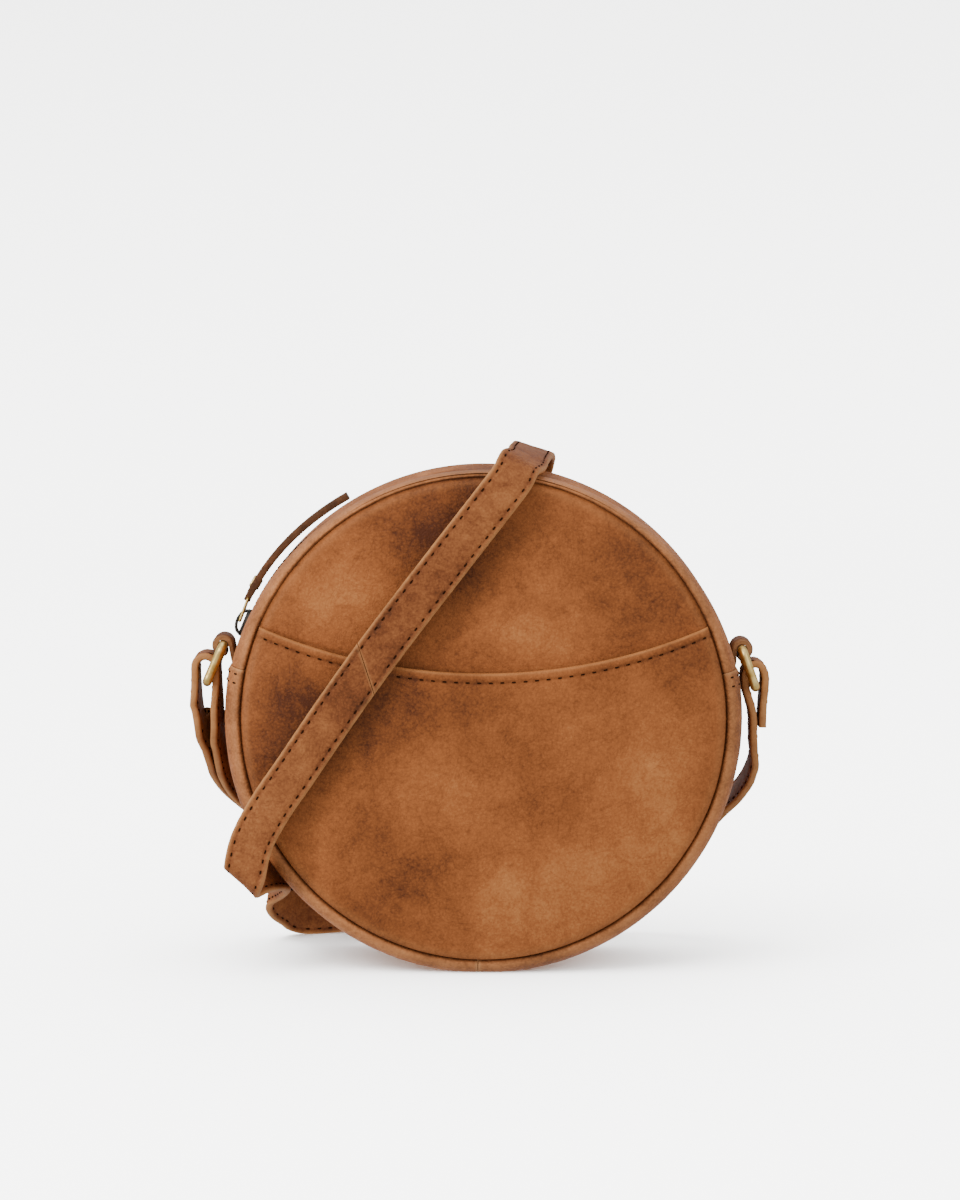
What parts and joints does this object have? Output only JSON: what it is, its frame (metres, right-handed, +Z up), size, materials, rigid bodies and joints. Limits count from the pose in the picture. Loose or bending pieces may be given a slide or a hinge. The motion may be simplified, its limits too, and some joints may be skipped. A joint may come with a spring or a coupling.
{
  "type": "round shoulder bag",
  "caption": "Round leather shoulder bag with a slip pocket, a zip over its top, ring-hung long strap with an adjuster, standing on its gusset.",
  "frame": {"origin": "middle of the flat of the gusset that the bag stands on, under the disc's centre and halfway through its depth", "axes": "+X to the right seen from the pocket side, +Y to the back, +Z up"},
  "size_m": [0.2251, 0.1097, 0.2057],
  "materials": {
    "body_leather": "oiled, mottled, fine grain",
    "gusset_leather": "oiled, lighter on its edges",
    "strap_leather": "oiled, two plies stitched together",
    "trim_leather": "oiled, dark",
    "lining_cloth": "plain weave",
    "foam": "soft backing, hidden",
    "zip_tape": "woven tape",
    "zip_metal": "dark antique plating",
    "brass_fittings": "antique brass plating"
  },
  "bodies": {
    "bag": {"front_panel": "body_leather", "slip_pocket": "body_leather", "back_panel": "body_leather", "gusset_left": "gusset_leather", "gusset_right": "gusset_leather", "zip_gusset_front": "gusset_leather", "zip_gusset_back": "gusset_leather", "zip_tape_front": "zip_tape", "zip_tape_back": "zip_tape", "zip_teeth_front": "zip_metal", "zip_teeth_back": "zip_metal", "zip_top_stops": "zip_metal", "zip_bottom_stop": "zip_metal", "tab_left": "trim_leather", "tab_right": "trim_leather", "strap_long": "strap_leather", "strap_short": "strap_leather", "strap_adjuster_end": "strap_leather", "strap_adjuster": "brass_fittings", "front_foam": "foam", "back_foam": "foam", "front_lining": "lining_cloth", "back_lining": "lining_cloth", "gusset_lining": "lining_cloth", "inner_pocket": "lining_cloth"},
    "slider": {"zip_slider": "zip_metal"},
    "pull": {"pull_link": "brass_fittings", "zip_pull": "trim_leather", "pull_rivet": "brass_fittings"},
    "left_ring": {"ring_left": "brass_fittings", "strap_end_left": "strap_leather"},
    "right_ring": {"ring_right": "brass_fittings", "strap_end_right": "strap_leather"}
  },
  "joints": [
    {"name": "zip_travel", "type": "hinge", "parent": "bag", "child": "slider", "pos_m": [0, 0, 0.0935], "axis": [0, 1, 0], "range_deg": [0, 97]},
    {"name": "pull_swing", "type": "hinge", "parent": "slider", "child": "pull", "pos_m": [-0.09504, 0, 0.13384], "axis": [0, -1, 0], "range_deg": [0, 100]},
    {"name": "left_ring_swing", "type": "hinge", "parent": "bag", "child": "left_ring", "pos_m": [-0.10136, 0, 0.12472], "axis": [0, 1, 0], "range_deg": [0, 20]},
    {"name": "right_ring_swing", "type": "hinge", "parent": "bag", "child": "right_ring", "pos_m": [0.10065, 0, 0.12304], "axis": [0, -1, 0], "range_deg": [0, 20]}
  ]
}
